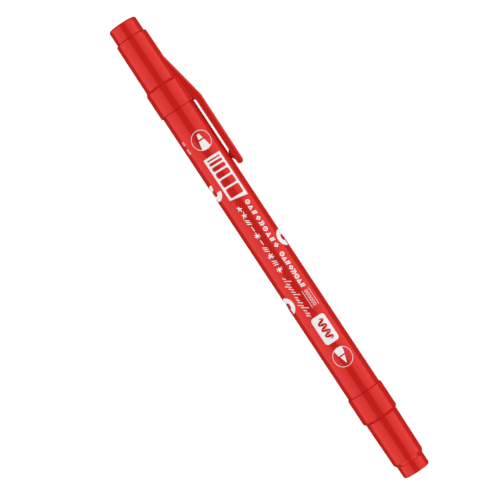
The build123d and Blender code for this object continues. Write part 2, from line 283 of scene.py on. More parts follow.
class Wire:
    """An output of a node that can be used in sums, which add the Math nodes they need."""

    def __init__(self, graph, node, output=0):
        self.graph = graph
        self.node = node
        self.socket = node.outputs[output] if node.outputs else None

    def also(self, output):
        """Another output of the same node."""
        return Wire(self.graph, self.node, output)

    def maths(self, operation, *terms):
        return self.graph.node("ShaderNodeMath", {"operation": operation}, dict(enumerate(terms)))

    def __add__(self, other):
        return self.maths("ADD", self, other)

    def __radd__(self, other):
        return self.maths("ADD", other, self)

    def __sub__(self, other):
        return self.maths("SUBTRACT", self, other)

    def __rsub__(self, other):
        return self.maths("SUBTRACT", other, self)

    def __mul__(self, other):
        return self.maths("MULTIPLY", self, other)

    def __rmul__(self, other):
        return self.maths("MULTIPLY", other, self)

    def __truediv__(self, other):
        return self.maths("DIVIDE", self, other)

    def __rtruediv__(self, other):
        return self.maths("DIVIDE", other, self)


class Graph:
    """A node tree with one way to add a node."""

    def __init__(self, tree):
        self.tree = tree

    def node(self, kind, settings=None, inputs=None):
        """Adds a node, sets it up, feeds its sockets with values or wires, and gives its output."""
        made = self.tree.nodes.new(kind)
        for name, value in (settings or {}).items():
            if name == "stops":
                self.set_stops(made.color_ramp, value)
            else:
                setattr(made, name, value)
        for socket, value in (inputs or {}).items():
            for single in value if isinstance(value, list) else [value]:
                if isinstance(single, Wire):
                    self.tree.links.new(single.socket, made.inputs[socket])
                else:
                    made.inputs[socket].default_value = single
        return Wire(self, made)

    def vector(self, operation, *terms, output=0):
        made = self.node("ShaderNodeVectorMath", {"operation": operation}, dict(enumerate(terms)))
        return made.also(output)

    def ramp(self, value, *stops):
        return self.node("ShaderNodeValToRGB", {"stops": stops}, {"Fac": value})

    @staticmethod
    def set_stops(ramp, stops):
        while len(ramp.elements) < len(stops):
            ramp.elements.new(1.0)
        for element, (place, value) in zip(ramp.elements, stops):
            element.position = place
            element.color = (value, value, value, 1.0)


class Finish(Graph):
    """A material being made: its shader, and patterns on the object's own coordinates."""

    def __init__(self, name, **constants):
        self.material = bpy.data.materials.new(name)
        self.material.use_nodes = True
        super().__init__(self.material.node_tree)
        self.shader = self.tree.nodes["Principled BSDF"]
        for socket, value in constants.items():
            self.shader.inputs[socket.replace("_", " ")].default_value = value
        self.place = self.node("ShaderNodeTexCoord").also("Object")

    def stretched(self, along, across):
        """Coordinates scaled separately along the marker and across it."""
        scale = (along, across, across)
        return self.node("ShaderNodeMapping", None, {"Vector": self.place, "Scale": scale})

    def noise(self, scale, detail=2.0, roughness=0.5, vector=None):
        inputs = {"Vector": vector or self.place, "Scale": scale, "Detail": detail,
                  "Roughness": roughness}
        return self.node("ShaderNodeTexNoise", None, inputs)

    def mix(self, factor, first, second):
        inputs = {0: factor, 6: (*first, 1.0) if isinstance(first, tuple) else first,
                  7: (*second, 1.0) if isinstance(second, tuple) else second}
        return self.node("ShaderNodeMix", {"data_type": "RGBA"}, inputs).also(2)

    def bump(self, height, distance, strength=1.0, normal=None):
        inputs = {"Height": height, "Distance": distance, "Strength": strength}
        if normal:
            inputs["Normal"] = normal
        return self.node("ShaderNodeBump", None, inputs)

    def feed(self, **wires):
        for socket, wire in wires.items():
            self.tree.links.new(wire.socket, self.shader.inputs[socket.replace("_", " ")])
        return self.material


class Recipe(Graph):
    """A Geometry Nodes tree being made, with named inputs."""

    def __init__(self, name):
        super().__init__(bpy.data.node_groups.new(name, "GeometryNodeTree"))
        self.tree.interface.new_socket("Geometry", in_out="INPUT", socket_type="NodeSocketGeometry")
        self.tree.interface.new_socket("Geometry", in_out="OUTPUT", socket_type="NodeSocketGeometry")
        self.entry = self.node("NodeGroupInput")

    def input(self, name, kind, default=None):
        socket = self.tree.interface.new_socket(name, in_out="INPUT", socket_type="NodeSocket" + kind)
        if default is not None:
            socket.default_value = default
        return self.entry.also(name)

    def scaled(self, vector, factor):
        inputs = {"Vector": vector, "Scale": factor}
        return self.node("ShaderNodeVectorMath", {"operation": "SCALE"}, inputs)

    def finish(self, geometry, material):
        real = self.node("GeometryNodeRealizeInstances", None, {"Geometry": geometry})
        inputs = {"Geometry": real, "Material": material}
        painted = self.node("GeometryNodeSetMaterial", None, inputs)
        self.node("NodeGroupOutput", None, {"Geometry": painted})
        return self.tree


# ---- finishes ------------------------------------------------------------------------------------

def plastic_finish(colours):
    """Glossy moulded plastic: slight colour drift, soft orange peel, fine scuffs along it."""
    finish = Finish("gloss_plastic", Metallic=0.25, Specular_IOR_Level=0.5, IOR=1.5,
                    Sheen_Weight=0.22, Sheen_Roughness=0.3, Sheen_Tint=(1.0, 0.1, 0.07, 1.0))
    drift = finish.noise(90.0, 3.0)
    base = finish.mix(drift, tuple(colours.plastic_shade), tuple(colours.plastic))
    scuffs = finish.noise(1.0, 4.0, 0.65, finish.stretched(120.0, 2600.0))
    scuffs = finish.ramp(scuffs, (0.52, 0.0), (0.78, 1.0))
    haze = finish.noise(260.0, 2.0)
    peel = finish.noise(1500.0, 1.0)
    normal = finish.bump(peel, 0.000012, 0.3)
    normal = finish.bump(scuffs, 0.000004, 0.25, normal)
    return finish.feed(Base_Color=base, Roughness=0.12 + 0.05 * haze + 0.08 * scuffs, Normal=normal)


def printing_finish(colours):
    """Screen-printed ink: slightly uneven, with the mesh's grain."""
    finish = Finish("white_print", Roughness=0.42, IOR=1.5)
    grain = finish.noise(5200.0, 2.0)
    patch = finish.noise(700.0, 3.0)
    worn = finish.ramp(patch, (0.3, 0.0), (0.55, 1.0))
    tint = tuple(channel * 0.965 for channel in colours.printing)
    base = finish.mix(worn, tint, tuple(colours.printing))
    normal = finish.bump(grain, 0.000006, 0.5)
    return finish.feed(Base_Color=base, Roughness=0.36 + 0.14 * grain, Normal=normal)


def section_finish(colours):
    """Satin black moulded plastic with fine turning marks round it."""
    finish = Finish("satin_black_plastic", Roughness=0.38, IOR=1.5)
    rings = finish.noise(1.0, 2.0, 0.5, finish.stretched(5200.0, 60.0))
    drift = finish.noise(400.0, 3.0)
    lighter = tuple(channel * 1.9 for channel in colours.section)
    base = finish.mix(drift, tuple(colours.section), lighter)
    normal = finish.bump(rings, 0.000006, 0.5)
    return finish.feed(Base_Color=base, Roughness=0.34 + 0.14 * drift, Normal=normal)


def liner_finish(colours):
    """Milky natural plastic that lets a little light through."""
    finish = Finish("milky_plastic", Roughness=0.35, IOR=1.5, Subsurface_Weight=0.25,
                    Subsurface_Radius=(1.0, 0.9, 0.8), Subsurface_Scale=0.0006)
    cloud = finish.noise(500.0, 3.0)
    shade = tuple(channel * 0.93 for channel in colours.liner)
    base = finish.mix(cloud, shade, tuple(colours.liner))
    normal = finish.bump(cloud, 0.00001, 0.3)
    return finish.feed(Base_Color=base, Roughness=0.3 + 0.12 * cloud, Normal=normal)


def fibre_finish(name, colours, wet, dry):
    """Bundled fibre along the marker, soaked unevenly with ink."""
    finish = Finish(name, Roughness=0.75, IOR=1.4)
    strands = finish.noise(1.0, 5.0, 0.7, finish.stretched(140.0, 9000.0))
    soak = finish.noise(650.0, 3.0)
    mask = finish.ramp(0.55 * strands + 0.45 * soak, (0.36, 0.0), (0.66, 1.0))
    base = finish.mix(mask, wet, dry)
    normal = finish.bump(strands, 0.00003, 0.8)
    return finish.feed(Base_Color=base, Roughness=0.55 + 0.3 * strands, Normal=normal)


def film_finish():
    """Thin clear wrap with faint draw lines."""
    finish = Finish("clear_film", Roughness=0.15, IOR=1.49)
    lines = finish.noise(1.0, 2.0, 0.5, finish.stretched(60.0, 3000.0))
    base = finish.mix(lines, (0.80, 0.80, 0.83), (0.92, 0.92, 0.94))
    normal = finish.bump(lines, 0.000005, 0.4)
    return finish.feed(Base_Color=base, Alpha=0.28 + 0.14 * lines, Roughness=0.12 + 0.1 * lines,
                       Normal=normal)


def floor_finish(colours):
    """Plain pale studio floor, lit from within like a light table so that it reads as white."""
    finish = Finish("studio_floor", Roughness=0.9, Specular_IOR_Level=0.0, Emission_Strength=0.9)
    grain = finish.noise(30.0, 2.0)
    shade = tuple(channel * 0.985 for channel in colours.floor)
    base = finish.mix(grain, shade, tuple(colours.floor))
    glow = finish.mix(grain, (0.985, 0.985, 0.985), (1.0, 1.0, 1.0))
    return finish.feed(Base_Color=base, Emission_Color=glow)


def painted(name, maker, *given):
    """The finish of that name, made the first time it is asked for."""
    return bpy.data.materials.get(name) or maker(*given)


def plastic():
    return painted("gloss_plastic", plastic_finish, bpy.context.scene.marker_colours)


# ---- outlines and solids -------------------------------------------------------------------------

ARC_STEPS = 5
SUPPORT = 0.07 * MM


def rounded(corners, steps=ARC_STEPS):
    """Points round a closed outline of (x, y, rounding) corners, with one more beside each corner."""
    arcs = []
    for index, corner in enumerate(corners):
        here = Vector(corner[:2])
        before = (Vector(corners[index - 1][:2]) - here).normalized()
        after = (Vector(corners[(index + 1) % len(corners)][:2]) - here).normalized()
        radius = corner[2] if len(corner) > 2 else 0.0
        turn = math.pi - before.angle(after)
        if radius <= 0.0 or turn < 0.01:
            arcs.append([here])
            continue
        reach = radius * math.tan(turn / 2)
        centre = here + (before + after).normalized() * radius / math.cos(turn / 2)
        first = here + before * reach - centre
        last = here + after * reach - centre
        arcs.append([
            centre + (first * math.sin((1 - step / steps) * turn) + last * math.sin(step / steps * turn))
            / math.sin(turn) for step in range(steps + 1)])
    points = []
    for arc, following in zip(arcs, arcs[1:] + arcs[:1]):
        points += arc
        gap = following[0] - arc[-1]
        if gap.length > TINY and max(abs(arc[-1].y), abs(following[0].y)) > TINY:
            beside = gap.normalized() * min(SUPPORT, gap.length * 0.2)
            points += [arc[-1] + beside, following[0] - beside]
    return points


def new_object(name, bm, material, smooth_below=STEP_ANGLE):
    """Turns a bmesh into an object with outward faces and smooth shading below an angle."""
    bmesh.ops.remove_doubles(bm, verts=bm.verts, dist=TINY)
    bmesh.ops.recalc_face_normals(bm, faces=bm.faces)
    mesh = bpy.data.meshes.new(name)
    bm.to_mesh(mesh)
    bm.free()
    mesh.materials.append(material)
    mesh.shade_smooth()
    mesh.set_sharp_from_angle(angle=math.radians(smooth_below))
    made = bpy.data.objects.new(name, mesh)
    bpy.context.scene.collection.objects.link(made)
    return made


def turned(name, corners, end, material, segments=128):
    """A piece turned about the marker's axis from (distance from the mouth, radius) corners."""
    bm = bmesh.new()
    rings = []
    for point in rounded(corners):
        middle = AXIS + ALONG * (end.mouth + end.way * point.x)
        if point.y < TINY:
            rings.append([bm.verts.new(middle)])
            continue
        angles = [2 * math.pi * step / segments for step in range(segments)]
        rings.append([
            bm.verts.new(middle + point.y * (math.cos(angle) * FRONT + math.sin(angle) * CLIP_WAY))
            for angle in angles])
    for ring, following in zip(rings, rings[1:] + rings[:1]):
        for step in range(segments):
            after = (step + 1) % segments
            if len(ring) > 1 and len(following) > 1:
                bm.faces.new((ring[step], ring[after], following[after], following[step]))
            elif len(ring) > 1:
                bm.faces.new((ring[step], ring[after], following[0]))
            elif len(following) > 1:
                bm.faces.new((ring[0], following[after], following[step]))
    return new_object(name, bm, material)


def lofted(name, stations, end, material):
    """A piece through cross-sections: (distance from the mouth, low, high, half width, edges)."""
    bm = bmesh.new()
    rings = []
    for out, low, high, half, top_edge, low_edge in stations:
        limit = 0.45 * min(high - low, 2 * half)
        top, under = min(top_edge, limit), min(low_edge, limit)
        corners = [(-half, low, under), (half, low, under), (half, high, top), (-half, high, top)]
        middle = AXIS + ALONG * (end.mouth + end.way * out)
        rings.append([bm.verts.new(middle + FRONT * p.x + CLIP_WAY * p.y) for p in rounded(corners)])
    for ring, following in zip(rings, rings[1:]):
        for step in range(len(ring)):
            after = (step + 1) % len(ring)
            bm.faces.new((ring[step], ring[after], following[after], following[step]))
    bm.faces.new(rings[0])
    bm.faces.new(rings[-1])
    return new_object(name, bm, material)


def settle(piece):
    """Gives a piece the mesh that its modifiers make, and removes them."""
    graph = bpy.context.evaluated_depsgraph_get()
    mesh = bpy.data.meshes.new_from_object(piece.evaluated_get(graph), depsgraph=graph)
    piece.modifiers.clear()
    piece.data = mesh
    return piece


def combine(piece, tool, operation):
    """Joins, cuts or overlaps two closed solids, and removes the second."""
    modifier = piece.modifiers.new("Combine", "BOOLEAN")
    modifier.object = tool
    modifier.operation = operation
    modifier.solver = "EXACT"
    modifier.material_mode = "TRANSFER"
    settle(piece)
    bpy.data.objects.remove(tool)
    return piece


def crease_between(piece, material):
    """Marks the edges where two moulded forms meet, and gives the piece one finish."""
    bm = bmesh.new()
    bm.from_mesh(piece.data)
    bmesh.ops.dissolve_degenerate(bm, dist=TINY, edges=bm.edges)
    for edge in bm.edges:
        faces = edge.link_faces
        seam = len(faces) == 2 and faces[0].material_index != faces[1].material_index
        if seam or (len(faces) == 2 and edge.calc_face_angle(0.0) > math.radians(STEP_ANGLE)):
            edge.smooth = False
    for face in bm.faces:
        face.material_index = 0
        face.smooth = True
    bmesh.ops.triangulate(bm, faces=[face for face in bm.faces if len(face.verts) > 4])
    bm.to_mesh(piece.data)
    bm.free()
    piece.data.materials.clear()
    piece.data.materials.append(material)
    weighted = piece.modifiers.new("Flat faces first", "WEIGHTED_NORMAL")
    weighted.keep_sharp = True
    return settle(piece)


def stand_for(piece, body, slot, *nodes):
    """Rides a piece on a body in place of CAD nodes."""
    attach(piece, body)
    if nodes:
        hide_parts(*nodes)
    return piece


# ---- barrel --------------------------------------------------------------------------------------

def make_barrel(settings):
    """Barrel with a neck and snap bead at each end."""
    neck = BARREL_RADIUS - settings.neck_step
    bore = BARREL_RADIUS - settings.wall
    bead = neck + settings.bead_height
    ramp = settings.bead_length * 0.3
    bead_edge = 0.1 * MM
    right = CLIP_END.mouth - settings.mouth_gap
    left = PLAIN_END.mouth + settings.mouth_gap
    neck_length = tube_high.x - right

    def half(shoulder, way):
        """The outline from one shoulder out to the end of its neck."""
        start = settings.bead_setback
        stop = start + settings.bead_length
        return [
            (shoulder - way * settings.shoulder_chamfer, BARREL_RADIUS),
            (shoulder, BARREL_RADIUS - settings.shoulder_chamfer),
            (shoulder, neck, CRISP_EDGE),
            (shoulder + way * start, neck, bead_edge),
            (shoulder + way * (start + ramp), bead, bead_edge),
            (shoulder + way * (stop - ramp), bead, bead_edge),
            (shoulder + way * stop, neck, bead_edge),
            (shoulder + way * neck_length, neck, SOFT_EDGE),
            (shoulder + way * neck_length, bore, CRISP_EDGE),
        ]

    corners = half(right, 1) + half(left, -1)[::-1]
    return turned("barrel", corners, Place(1, 0.0), plastic())


# ---- caps ----------------------------------------------------------------------------------------

def shell_outside(name, cap, end, material):
    """The round outside of a cap, solid."""
    collar = end.collar_radius
    body = collar - cap.collar_step
    collar_end = cap.collar_length
    body_start = collar_end + cap.collar_bevel
    stop = end.shell[1]
    corners = [
        (0, 0), (0, collar - cap.mouth_chamfer), (cap.mouth_chamfer, collar),
        (collar_end, collar, SOFT_EDGE), (body_start, body, SOFT_EDGE),
        (stop, body - cap.body_taper, cap.body_edge), (stop, 0),
    ]
    return turned(name, corners, end, material)


def shell_hollow(name, cap, end, material):
    """The inside of a cap: lead-in, mouth and the liner's bore."""
    over = 1.0 * MM
    lead_radius = cap.mouth_radius + LEAD_STEP
    bore = end.liner_radius + PRESS_GAP
    stop = end.shell[1]
    corners = [
        (-over, 0), (-over, lead_radius), (0, lead_radius), (LEAD_IN, cap.mouth_radius, 0.1 * MM),
        (cap.mouth_depth, cap.mouth_radius), (cap.mouth_depth, bore), (stop + over, bore),
        (stop + over, 0),
    ]
    return turned(name, corners, end, material)


def tip_stations(clip, low, high, tip):
    """Cross-sections that close the clip's tip, round from the side and from above."""
    steps = 14
    half = clip.width / 2
    middle = (low + high) / 2
    thick = (high - low) / 2
    thinnest = 0.02 * MM
    stations = []
    for step in range(steps + 1):
        depth = clip.tip_corner * (1 - math.cos(math.pi / 2 * (1 - step / steps)))
        side = clip.tip_corner - depth
        narrow = half - clip.tip_corner + math.sqrt(max(clip.tip_corner ** 2 - side ** 2, 0.0))
        left = max(clip.tip_rounding - depth, 0.0)
        thin = thick - clip.tip_rounding + math.sqrt(max(clip.tip_rounding ** 2 - left ** 2, 0.0))
        thin = max(thin, thinnest)
        stations.append((-(tip - depth), middle - thin, middle + thin, narrow, clip.edge,
                         clip.inner_edge))
    return stations


def crest_height(out, crest, ramp_fall, arm_fall, blend):
    """Height of the clip's outer face: the ramp, the arm, and a soft crest between them."""
    if abs(out) >= blend:
        return crest - max(ramp_fall * out, -arm_fall * out)
    share = (out + blend) / (2 * blend)
    return (crest - arm_fall * blend
            + 2 * blend * (arm_fall * share - (arm_fall + ramp_fall) * share ** 2 / 2))


def make_clip_arm(clip, cap, end, material):
    """The clip with its ramp, from the cap's body to the tip."""
    inner = BARREL_RADIUS + clip.gap
    crest = inner + clip.root_thickness
    body = end.collar_radius - cap.collar_step
    sunk = body - 1.1 * MM              # inside the shell's wall, so that the two forms join
    ramp_start = clip.ramp_length + 1.5 * MM
    ramp_fall = (crest - body) / clip.ramp_length
    arm_fall = (clip.root_thickness - clip.tip_thickness) / clip.reach
    blend = clip.crest_rounding
    slot_end = 0.02 * MM
    bending = 4.0 * MM

    def station(out, low):
        high = crest_height(out, crest, ramp_fall, arm_fall, blend)
        return out, low, high, clip.width / 2, clip.edge, clip.inner_edge

    stations = [station(ramp_start, sunk)]
    for step in range(13):
        stations.append(station(blend + (clip.ramp_length - blend) * (1 - step / 12), sunk))
    for step in range(1, 6):
        stations.append(station(blend * (1 - step / 6), sunk))
    stations.append(station(slot_end, sunk))

    radius = clip.slot_rounding
    for step in range(7):
        angle = math.pi / 2 * step / 6
        out = slot_end - radius * (1 - math.cos(angle)) - TINY * 10
        stations.append(station(out, inner - radius * (1 - math.sin(angle))))

    arm_start = slot_end - radius
    bend_end = arm_start - bending
    tip_start = clip.tip_corner - clip.reach
    for step in range(1, 10):
        stations.append(station(arm_start + (bend_end - arm_start) * step / 9, inner))
    for step in range(1, 6):
        stations.append(station(bend_end + (tip_start - bend_end) * step / 6, inner))
    tip_high = crest_height(tip_start, crest, ramp_fall, arm_fall, blend)
    stations += tip_stations(clip, inner, tip_high, clip.reach)
    return lofted("clip_form", stations, end, material)


def make_bump(clip, end, material):
    """The gripping bump under the clip's tip."""
    inner = BARREL_RADIUS + clip.gap
    flat = BARREL_RADIUS + clip.bump_gap
    start = clip.reach - clip.bump_setback
    slope = (clip.bump_length - clip.bump_top) / 2
    foot = slope + clip.bump_top
    soft_corner = 0.12 * MM
    near_flat = flat + (inner - flat) * soft_corner / slope
    corner = flat + 0.3 * (near_flat - flat)
    root = inner + 0.5 * MM             # inside the arm, so that the two forms join
    heights = [
        (0.0, inner), (slope - soft_corner, near_flat), (slope, corner),
        (slope + soft_corner, flat), (foot - soft_corner, flat), (foot, corner),
        (foot + soft_corner, near_flat), (clip.bump_length, inner),
    ]
    stations = [(run - start, low - TINY * 50, root, clip.bump_width / 2, soft_corner, soft_corner)
                for run, low in heights]
    return lofted("bump_form", stations, end, material)


def make_clip_cap(cap, clip):
    """Cap and clip in one moulding. Two spare materials show which form a face comes from."""
    end = CLIP_END
    gloss = plastic()
    other = bpy.data.materials.new("clip_seam")
    hollow = bpy.data.materials.new("hollow_seam")
    shell = shell_outside("clip_cap", cap, end, gloss)
    arm = make_clip_arm(clip, cap, end, other)
    combine(arm, make_bump(clip, end, other), "UNION")
    combine(shell, arm, "UNION")
    combine(shell, shell_hollow("clip_cap_hollow", cap, end, hollow), "DIFFERENCE")
    crease_between(shell, gloss)
    for spare in (other, hollow):
        bpy.data.materials.remove(spare)
    return shell


def make_plain_cap(cap):
    """The cap with no clip, turned with its hollow in one outline."""
    end = PLAIN_END
    collar = end.collar_radius
    body = collar - cap.collar_step
    bore = end.liner_radius + PRESS_GAP
    stop = end.shell[1]
    bevel_end = cap.collar_length + cap.collar_bevel
    groove = cap.groove
    corners = [
        (0, cap.mouth_radius + LEAD_STEP, CRISP_EDGE), (0, collar - cap.mouth_chamfer),
        (cap.mouth_chamfer, collar),
        (cap.collar_length, collar, SOFT_EDGE), (bevel_end, body, GROOVE_EDGE),
        (bevel_end + groove, body - groove), (bevel_end + 2 * groove, body, GROOVE_EDGE),
        (stop, body - cap.body_taper, cap.body_edge), (stop, bore),
        (cap.mouth_depth, bore), (cap.mouth_depth, cap.mouth_radius),
        (LEAD_IN, cap.mouth_radius, 0.1 * MM),
    ]
    return turned("plain_cap", corners, end, plastic())


def make_end_plug(name, cap, end):
    """The nub on a cap's end, with a shallow dished face and the hollow spigot inside."""
    base = end.collar_radius - cap.collar_step - cap.body_taper
    nub = base - cap.nub_step
    shell = end.shell[1]
    stop = end.plug[1]
    spigot = end.liner_radius
    wall = 0.8 * MM
    floor = 0.9 * MM
    dish = 0.16 * MM
    rim = nub - 0.75 * MM
    rim_edge = 0.08 * MM
    nub_edge = 0.62 * MM
    first = base if cap.nub_bevel > 0 else nub
    seam = shell + TINY * 20
    corners = [
        (end.plug[0], spigot - wall), (end.plug[0], spigot, 0.1 * MM),
        (seam, spigot), (seam, first, 0.07 * MM),
    ]
    bevel_end = shell + cap.nub_bevel
    groove = cap.groove
    if cap.nub_bevel > 0:
        corners.append((bevel_end, nub, GROOVE_EDGE))
    corners += [
        (bevel_end + groove, nub - groove), (bevel_end + 2 * groove, nub, GROOVE_EDGE),
        (stop, nub, nub_edge), (stop, rim + dish, rim_edge), (stop - dish, rim, rim_edge),
        (stop - dish, 0), (stop - floor - dish, 0), (stop - floor - dish, spigot - wall, 0.3 * MM),
    ]
    return turned(name, corners, end, plastic())


def make_liner(name, end, wall):
    """Closed inner cap with a soft rim."""
    start, stop = end.liner
    outer = end.liner_radius
    inner = outer - wall
    floor = 0.6 * MM
    corners = [
        (start, inner, SOFT_EDGE), (start, outer, SOFT_EDGE), (stop, outer, 0.3 * MM), (stop, 0),
        (stop - floor, 0), (stop - floor, inner, 0.4 * MM),
    ]
    finish = painted("milky_plastic", liner_finish, bpy.context.scene.marker_colours)
    return turned(name, corners, end, finish)


# ---- writing ends --------------------------------------------------------------------------------

def make_section(name, end, settings, lip, hole):
    """Front piece: grip, flange with its vent, sealing seat, cone and lip."""
    gap = settings.mouth_gap
    back, stop = end.section
    neck_end = tube_high.x - (CLIP_END.mouth - gap) - gap
    flange_end = neck_end + settings.flange
    seat_end = flange_end + settings.seat
    grip = BARREL_RADIUS - settings.wall - PRESS_GAP
    seat = settings.seat_radius
    cone = seat - settings.seat_step
    groove = 0.09 * MM
    groove_start = flange_end + 1.3 * MM
    groove_end = flange_end + 1.8 * MM
    slope = 0.1 * MM
    corners = [
        (back, hole), (back, grip, 0.18 * MM), (neck_end, grip), (neck_end, end.section_radius),
        (flange_end, end.section_radius, 0.14 * MM), (flange_end, seat, 0.08 * MM),
        (groove_start, seat, CRISP_EDGE), (groove_start + slope, seat - groove, CRISP_EDGE),
        (groove_end - slope, seat - groove, CRISP_EDGE), (groove_end, seat, CRISP_EDGE),
        (seat_end, seat, 0.14 * MM), (seat_end, cone, 0.1 * MM), (stop, lip, 0.22 * MM), (stop, hole),
    ]
    finish = painted("satin_black_plastic", section_finish, bpy.context.scene.marker_colours)
    section = turned(name, corners, end, finish)
    over = 1.0 * MM
    vent_form = (grip - 0.4 * MM, end.section_radius + over, 0.3 * MM, CRISP_EDGE, CRISP_EDGE)
    vent = lofted("vent_form", [(back - over, *vent_form), (flange_end + over, *vent_form)],
                  end, finish)
    vent.data.transform(half_turn())
    combine(section, vent, "DIFFERENCE")
    return crease_between(section, finish)


def half_turn():
    """Turns a form half way round the marker's axis."""
    return Matrix.Translation(AXIS) @ Matrix.Rotation(math.pi, 4, "X") @ Matrix.Translation(-AXIS)


def make_nib(name, end, point, tip_radius):
    """Fibre nib with a softened back edge, a rounded shoulder and a rounded point."""
    back, stop = end.nib
    radius = end.nib_radius
    corners = [
        (back, 0), (back, radius, radius * 0.15), (stop - point, radius, radius * 0.6),
        (stop, tip_radius, tip_radius * 0.75), (stop, 0),
    ]
    colours = bpy.context.scene.marker_colours
    lighter = tuple(channel * 2.1 for channel in colours.nib)
    finish = painted("inked_nib", fibre_finish, "inked_nib", colours, tuple(colours.nib), lighter)
    return turned(name, corners, end, finish, 96)


def make_sleeve(end):
    """Thin tube round the fine nib."""
    start, stop = SLEEVE
    inner = end.nib_radius + PRESS_GAP
    corners = [
        (start, inner), (start, SLEEVE_RADIUS, CRISP_EDGE), (stop, SLEEVE_RADIUS, 0.22 * MM),
        (stop, inner, 0.04 * MM),
    ]
    finish = painted("satin_black_plastic", section_finish, bpy.context.scene.marker_colours)
    return turned("fine_sleeve", corners, end, finish, 96)


# ---- things that repeat --------------------------------------------------------------------------

def set_inputs(modifier, values):
    """Sets a Geometry Nodes modifier's inputs by their names."""
    for item in modifier.node_group.interface.items_tree:
        if item.item_type == "SOCKET" and item.in_out == "INPUT" and item.name in values:
            modifier[item.identifier] = values[item.name]


def grown(name, source, steps):
    """Runs Geometry Nodes trees over a source mesh and keeps the plain result."""
    carrier = bpy.data.objects.new(name, source)
    bpy.context.scene.collection.objects.link(carrier)
    for tree, values in steps:
        modifier = carrier.modifiers.new(tree.name, "NODES")
        modifier.node_group = tree
        set_inputs(modifier, values)
    return settle(carrier)


def ring_recipe():
    """Copies of a form spaced evenly round the marker's axis."""
    recipe = Recipe("Round the axis")
    count = recipe.input("Count", "Int", 12)
    axis = recipe.input("Axis point", "Vector")
    material = recipe.input("Material", "Material")
    points = recipe.node("GeometryNodeMeshLine", {"mode": "OFFSET"},
                         {"Count": count, "Offset": (0.0, 0.0, 0.0)})
    step = recipe.node("GeometryNodeInputIndex") / count * (2 * math.pi)
    turn = recipe.node("ShaderNodeCombineXYZ", None, {"X": step})
    back = recipe.scaled(axis, -1.0)
    centred = recipe.node("GeometryNodeTransform", None,
                          {"Geometry": recipe.entry, "Translation": back})
    copies = recipe.node("GeometryNodeInstanceOnPoints", None,
                         {"Points": points, "Instance": centred, "Rotation": turn})
    moved = recipe.node("GeometryNodeTransform", None, {"Geometry": copies, "Translation": axis})
    return recipe.finish(moved, material)


def row_recipe():
    """Copies of a form in a row along the marker."""
    recipe = Recipe("Along the axis")
    count = recipe.input("Count", "Int", 8)
    pitch = recipe.input("Pitch", "Vector")
    material = recipe.input("Material", "Material")
    points = recipe.node("GeometryNodeMeshLine", {"mode": "OFFSET"},
                         {"Count": count, "Offset": pitch})
    copies = recipe.node("GeometryNodeInstanceOnPoints", None,
                         {"Points": points, "Instance": recipe.entry})
    return recipe.finish(copies, material)


def make_mouth_ribs(name, cap, end, count):
    """Low ribs inside a cap's mouth that grip the neck."""
    start = cap.mouth_depth - 3.2 * MM
    stop = cap.mouth_depth - 0.25 * MM
    high = cap.mouth_radius + 0.05 * MM
    low = cap.mouth_radius - 0.07 * MM
    half = 0.16 * MM
    lead = 0.4 * MM
    hair, soft_foot = 0.01 * MM, 0.04 * MM
    rib = lofted("rib_form", [
        (start, high - 3 * hair, high, half, hair, hair),
        (start + lead, low, high, half, hair, soft_foot),
        (stop, low, high, half, hair, soft_foot),
    ], end, plastic())
    tree = bpy.data.node_groups.get("Round the axis") or ring_recipe()
    values = {"Count": count, "Axis point": AXIS, "Material": plastic()}
    made = grown(name, rib.data, [(tree, values)])
    bpy.data.objects.remove(rib)
    return made


def make_grip_fins(name, end, settings):
    """Thin sealing rings on the part of a section that sits in the barrel."""
    back = end.section[0]
    pitch = 0.8 * MM
    outer = BARREL_RADIUS - settings.wall - 0.005 * MM
    inner = outer - 0.3 * MM
    thick = 0.22 * MM
    first = back + 0.6 * MM
    corners = [(first, inner), (first, outer, CRISP_EDGE), (first + thick, outer, CRISP_EDGE),
               (first + thick, inner)]
    finish = painted("satin_black_plastic", section_finish, bpy.context.scene.marker_colours)
    fin = turned("fin_form", corners, end, finish, 64)
    tree = bpy.data.node_groups.get("Along the axis") or row_recipe()
    values = {"Count": settings.fin_count, "Pitch": ALONG * end.way * pitch, "Material": finish}
    made = grown(name, fin.data, [(tree, values)])
    bpy.data.objects.remove(fin)
    return made


# ---- printing ------------------------------------------------------------------------------------

# Printing is drawn flat: x runs from the middle of the barrel towards the plain cap, y from the
# front line round the barrel towards the clip. Then it is wrapped on the barrel.

STRIP = 0.24 * MM           # width of the strips that let flat printing bend


def circle(x, y, radius, steps=56):
    """The outline of a disc."""
    turns = [2 * math.pi * step / steps for step in range(steps)]
    return [(x + radius * math.cos(turn), y + radius * math.sin(turn)) for turn in turns]


def band(x, y, outer, inner, start, sweep, steps=44):
    """A piece of a ring with square ends, as one outline."""
    turns = [start + sweep * step / steps for step in range(steps + 1)]
    return [(x + radius * math.cos(turn), y + radius * math.sin(turn))
            for radius, way in ((outer, 1), (inner, -1)) for turn in turns[::way]]


def ribbon(points, widths):
    """The outline of a stroke through points, as wide as asked at each of them."""
    left, right = [], []
    for step, point in enumerate(points):
        way = points[min(step + 1, len(points) - 1)] - points[max(step - 1, 0)]
        side = Vector((-way.y, way.x)).normalized() * widths[step] / 2
        left.append(tuple(point + side))
        right.append(tuple(point - side))
    return left + right[::-1]


def soft(corners):
    """An outline of (x, y, rounding) corners as plain points."""
    return [tuple(point) for point in rounded(corners)]


def soft_box(left, low, right, high, radius, lean=0.0):
    """A rounded box whose top leans over to the right."""
    return soft([(left, low, radius), (right, low, radius), (right + lean, high, radius),
                 (left + lean, high, radius)])


